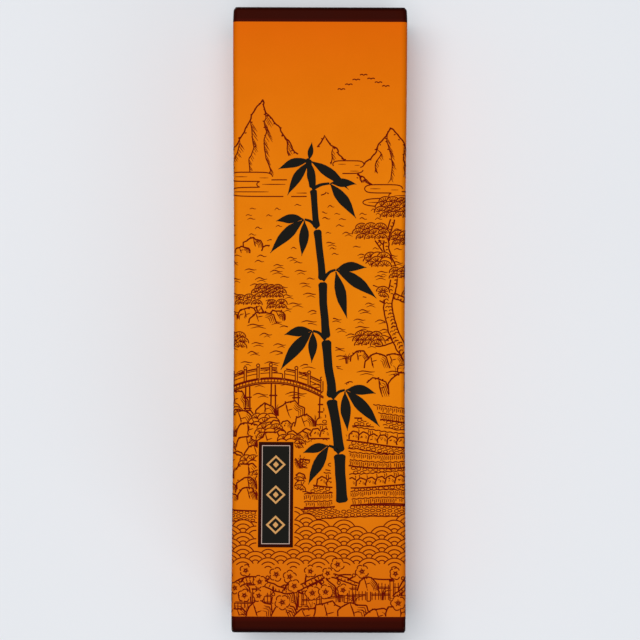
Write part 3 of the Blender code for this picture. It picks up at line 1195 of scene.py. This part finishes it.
def orange_ground():
    """The orange that floods the panels: darker towards the ends, partly the print and partly painted shade,
    faintly mottled, with a few pin holes.
    """
    material, tree, shader, place = finish_tree("orange_ground", (0.76, 0.19, 0.003), 0.42)
    fibre = board_surface(tree, shader, place)
    # Darker towards the ends: partly the print's deeper orange, partly painted shade, most of it at the foot
    along = coordinates(tree, place)[1] / (LENGTH * MM)
    foot = (along * -2).math("MAXIMUM", 0.0).math("POWER", 2.0)
    top = (along * 2).math("MAXIMUM", 0.0).math("POWER", 2.0)
    colour = mixed(tree, foot, (0.8, 0.22, 0.001), (0.622, 0.122, 0.003))
    colour = mixed(tree, top, colour, (0.715, 0.115, 0.0))
    mottle = clouds(tree, place, 60.0, 4.0)
    uneven = (mottle - 0.5) * 0.5 + (fibre - 0.5) * 0.35
    colour = mixed(tree, uneven.math("ADD", 0.15, clamp=True), colour, (0.62, 0.13, 0.001))
    cells = add_node(tree, "ShaderNodeTexVoronoi", {"Vector": place, "Scale": 170.0})
    pick = add_node(tree, "ShaderNodeSeparateColor", {0: cells.outputs["Color"]})
    is_rare = Number(tree, pick.outputs[0]).math("GREATER_THAN", 0.972)
    size = Number(tree, pick.outputs[1]) * 0.05 + 0.03
    hole = (size - Number(tree, cells.outputs["Distance"])).math("MULTIPLY", 60.0, clamp=True) * is_rare
    colour = mixed(tree, hole * 0.6, colour, (0.85, 0.5, 0.2))
    # Painted shade darkens the ground along the folds; the paler scuffs are wear
    painted_fold_shade, rubbed = fold_shade_and_wear(tree, place)
    colour = mixed(tree, painted_fold_shade * 0.38, colour, (0.36, 0.07, 0.0))
    colour = mixed(tree, rubbed * 0.45, colour, (0.85, 0.45, 0.2))
    tree.links.new(colour, shader.inputs["Base Color"])
    tree.links.new((mottle * 0.12 + 0.36).socket, shader.inputs["Roughness"])
    return material


def band_shade_and_rim(tree, place):
    """Two shares for the dark bands: painted shade that darkens them towards the folds at the ends, more so
    at the foot, and how thin the ink runs along the bands' inner edges."""
    _, y, z = (value / MM for value in coordinates(tree, place))
    at_foot = y.ramp(FOOT_SHADE_START - LENGTH / 2, -1 / FOOT_RISE)
    at_head = y.ramp(LENGTH / 2 - HEAD_SHADE_START, 1 / HEAD_RISE)
    inner_foot = y.ramp(PRINT_FOOT - FOOT_THIN, 1 / FOOT_THIN)
    inner_head = y.ramp(PRINT_HEAD + HEAD_THIN, -1 / HEAD_THIN)
    on_top = z.ramp(HEIGHT - FOLD_DROP, 2.0)
    return at_foot.math("MAXIMUM", at_head) * on_top, inner_foot.math("MINIMUM", inner_head)


def solid_ink(name, colour, other, roughness=0.45, in_bands=False):
    """An ink that covers the board, clouded between two colours and a little uneven in gloss. Painted shade
    darkens it along the folds, and the bands also towards their ends; the pale scuffs are wear.
    """
    material, tree, shader, place = finish_tree(name, colour, roughness)
    fibre = board_surface(tree, shader, place)
    cloud = clouds(tree, place, 110.0, 3.0)
    laid = mixed(tree, cloud * 0.6 + fibre * 0.4, colour, other)
    if in_bands:
        painted_end_shade, thin = band_shade_and_rim(tree, place)
        laid = mixed(tree, thin * 0.6, laid, (0.085, 0.004, 0.0005))
        # Painted shade: the bands darken to near black towards the end folds, most at the foot
        laid = mixed(tree, painted_end_shade * 0.92, laid, (0.001, 0.001, 0.002))
    # Painted shade darkens every ink along the folds; the pale scuffs after it are wear
    painted_fold_shade, rubbed = fold_shade_and_wear(tree, place)
    shaded_and_worn = mixed(tree, painted_fold_shade * 0.4, laid, [part * 0.2 for part in colour])
    shaded_and_worn = mixed(tree, rubbed * 0.4, shaded_and_worn, (0.4, 0.24, 0.16))
    tree.links.new(shaded_and_worn, shader.inputs["Base Color"])
    tree.links.new((cloud * 0.15 + (roughness - 0.07)).socket, shader.inputs["Roughness"])
    return material


def cut_edge():
    """The board's bare cut edge: pale grey-brown pulp, a little rough."""
    material, tree, shader, place = finish_tree("cut_board_edge", (0.46, 0.4, 0.32), 0.9)
    pulp = clouds(tree, place, 2600.0, 4.0)
    tree.links.new(bumped(tree, pulp, 0.4, 0.0001), shader.inputs["Normal"])
    colour = mixed(tree, pulp, (0.36, 0.3, 0.23), (0.56, 0.5, 0.41))
    tree.links.new(colour, shader.inputs["Base Color"])
    return material


# The carton itself

GROUND, BAND, BARE = range(3)  # the finishes of its faces
SHARP_ANGLE = 35  # degrees between two faces, past which their edge is shaded sharp
MERGE = 0.002
BACK_CUTS = BOARD + 0.3  # the cuts in the back panel reach up to here
SEAM_CUT = BOARD + 0.2  # and the cut edge over the glued seam to here
SLIT_REACH = 2.0  # from the carton's ends to the inner ends of the slits
NEAR = 0.05  # how far off a face may lie and still count as the slit's or the panel's own


def carton_board(node, materials):
    """The carton's own shape with its seams closed and its folds shaded round. It is cut along the inner
    edges of the bands, so that every face has one finish."""
    mesh = node.data.copy()
    mesh.name = "carton_board"
    shape = bmesh.new()
    shape.from_mesh(mesh)
    bmesh.ops.remove_doubles(shape, verts=shape.verts, dist=MERGE * MM)
    for band_edge in (PRINT_FOOT * MM, PRINT_HEAD * MM):
        parts = [*shape.verts, *shape.edges, *shape.faces]
        cut = {"plane_co": (0, band_edge, 0), "plane_no": (0, 1, 0), "dist": MERGE * MM}
        bmesh.ops.bisect_plane(shape, geom=parts, **cut)
    shape.to_mesh(mesh)
    shape.free()
    mesh.materials.clear()
    for material in materials:
        mesh.materials.append(material)
    for face in mesh.polygons:
        x, y, z = (value / MM for value in face.center)
        face.material_index = finish_of(x, y, z, face.normal)
    mesh.shade_smooth()
    mesh.set_sharp_from_angle(angle=math.radians(SHARP_ANGLE))
    piece = link(bpy.data.objects.new("carton_board", mesh))
    weights = piece.modifiers.new("panel_normals", "WEIGHTED_NORMAL")
    weights.keep_sharp = True
    weights.mode = "FACE_AREA"
    weights.weight = 90
    return made_real(piece, "carton_board_panels", flat=False)


def finish_of(x, y, z, normal):
    """Each face's finish, by where it lies: the orange ground, the dark bands and ends, or bare edges."""
    in_end = not PRINT_FOOT < y < PRINT_HEAD
    slit = HEAD_SLIT if y > 0 else FOOT_SLIT
    in_back = z < BACK_CUTS
    slit_side = abs(normal.x) > 0.99 and abs(y) > LENGTH / 2 - SLIT_REACH and abs(abs(x) - slit) < NEAR
    back_end = abs(normal.y) > 0.5 and in_back and abs(y) < LENGTH / 2 - PANEL_INSET + NEAR
    thumb_side = abs(normal.z) < 0.1 and in_back and abs(x) < THUMB_RADIUS + 2 * NEAR and in_end
    seam_edge = normal.x < -0.99 and z < SEAM_CUT and x > 0.5 - WIDTH / 2
    if slit_side or back_end or thumb_side or seam_edge:
        return BARE
    return BAND if in_end else GROUND


# Floor, light and camera, in metres

FLOOR_HALF = 3.0
LAMPS = (  # name, place, what it is aimed at, size, power and colour
    ("overhead_softbox", (-0.13, 0.15, 1.7), (0, 0.01, 0.05), (0.8, 1.0), 20.6, (1, 0.99, 0.98)),
    ("fill_softbox", (0.8, -1.3, 0.7), (0, 0, 0.03), (0.9, 0.6), 4.6, (0.9, 0.95, 1)),
)
ROOM_COLOUR, ROOM_STRENGTH = (0.95, 0.97, 1, 1), 0.29
CAMERA_HEIGHT = 1.0  # above the front panel
SENSOR = 36.0  # the width of the camera's sensor, in millimetres
FRAME_PIXELS = 640
FACE_PIXELS = 627.3  # the carton's length in the frame, at the height of its front panel
FACE_CENTRE = (319.35, 320.0)  # and the front panel's middle there
ROLL = 0.17  # degrees that the carton is turned in the frame


def floor():
    """A wide pale floor, faintly clouded."""
    material, tree, shader, place = finish_tree("pale_floor", (0.82, 0.85, 0.89), 0.7)
    colour = mixed(tree, clouds(tree, place, 3.0), (0.8, 0.83, 0.87), (0.84, 0.865, 0.9))
    tree.links.new(colour, shader.inputs["Base Color"])
    mesh = bpy.data.meshes.new("floor")
    corners = [(FLOOR_HALF * i, FLOOR_HALF * j, 0) for i, j in ((-1, -1), (1, -1), (1, 1), (-1, 1))]
    mesh.from_pydata(corners, [], [(0, 1, 2, 3)])
    mesh.materials.append(material)
    link(bpy.data.objects.new("floor", mesh))


def lamp(name, place, aim, size, power, colour):
    """A rectangular softbox."""
    data = bpy.data.lights.new(name, "AREA")
    data.shape = "RECTANGLE"
    data.size, data.size_y = size
    data.energy = power
    data.color = colour
    obj = link(bpy.data.objects.new(name, data))
    obj.location = place
    obj.rotation_euler = (Vector(aim) - Vector(place)).to_track_quat("-Z", "Y").to_euler()


def light():
    """The softboxes and the even light of a pale room."""
    for row in LAMPS:
        lamp(*row)
    world = bpy.data.worlds.new("studio")
    world.use_nodes = True
    back = world.node_tree.nodes["Background"]
    back.inputs["Color"].default_value = ROOM_COLOUR
    back.inputs["Strength"].default_value = ROOM_STRENGTH
    bpy.context.scene.world = world


def camera():
    """Straight down on the printed face, framed as in the photograph."""
    shown = LENGTH * MM * FRAME_PIXELS / FACE_PIXELS
    pixel = shown / FRAME_PIXELS
    data = bpy.data.cameras.new("camera")
    data.sensor_width = SENSOR
    data.lens = SENSOR * CAMERA_HEIGHT / shown
    obj = link(bpy.data.objects.new("camera", data))
    off_x = (FRAME_PIXELS / 2 - FACE_CENTRE[0]) * pixel
    off_y = (FACE_CENTRE[1] - FRAME_PIXELS / 2) * pixel
    obj.location = (off_x, off_y, HEIGHT * MM + CAMERA_HEIGHT)
    obj.rotation_euler = (0, 0, math.radians(ROLL))
    bpy.context.scene.camera = obj


def picture(spray):
    """The whole line picture, clear of the brushwork and the plaque."""
    art = Drawing()
    mountains(art)
    lake(art)
    left_bank(art)
    arched_bridge(art, (-44, -32), (12, -40), 9)
    leaning_pine(art)
    garden_terraces(art)
    near_bank(art)
    shore(art)
    foreground(art)
    art.hide_near(spray.strokes("bamboo_spray"), HALO)
    art.hide(plaque_corners(PLAQUE_MARGIN))
    return art


def main():
    """Dresses the carton and sets the view."""
    bpy.context.scene.view_settings.view_transform = "Standard"
    camera()
    light()
    floor()
    band = solid_ink("maroon_band", (0.028, 0.002, 0.0003), (0.04, 0.003, 0.0006), 0.42, in_bands=True)
    line_ink = solid_ink("maroon_line", (0.105, 0.002, 0.0003), (0.145, 0.004, 0.0005))
    black_ink = solid_ink("black_ink", (0.007, 0.0065, 0.005), (0.011, 0.010, 0.008))
    border_ink = solid_ink("plaque_border", (0.024, 0.0015, 0.0003), (0.034, 0.0025, 0.0005), 0.42)
    field_ink = solid_ink("plaque_field", (0.0085, 0.0078, 0.0062), (0.0125, 0.0115, 0.0095))
    pale_ink = solid_ink("plaque_line", (0.5, 0.36, 0.3), (0.6, 0.45, 0.38))
    gold_ink = solid_ink("plaque_gold", (0.55, 0.28, 0.09), (0.68, 0.36, 0.13))
    board = carton_board(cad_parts["carton"], (orange_ground(), band, cut_edge()))
    spray = bamboo_spray()
    label = plaque()
    lines = picture(spray)
    pieces = [printed(lines, layer, LINE_HEIGHT, line_ink) for layer in lines.layers]
    pieces += [
        printed(spray, "bamboo_spray", BRUSH_HEIGHT, black_ink),
        printed(label, "plaque_border", BORDER_HEIGHT, border_ink),
        printed(label, "plaque_field", FIELD_HEIGHT, field_ink),
        printed(label, "plaque_line", GOLD_HEIGHT, pale_ink),
        printed(label, "plaque_gold", GOLD_HEIGHT, gold_ink),
    ]
    for piece in [board, *pieces]:
        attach(piece, "root")
    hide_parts("carton")


main()
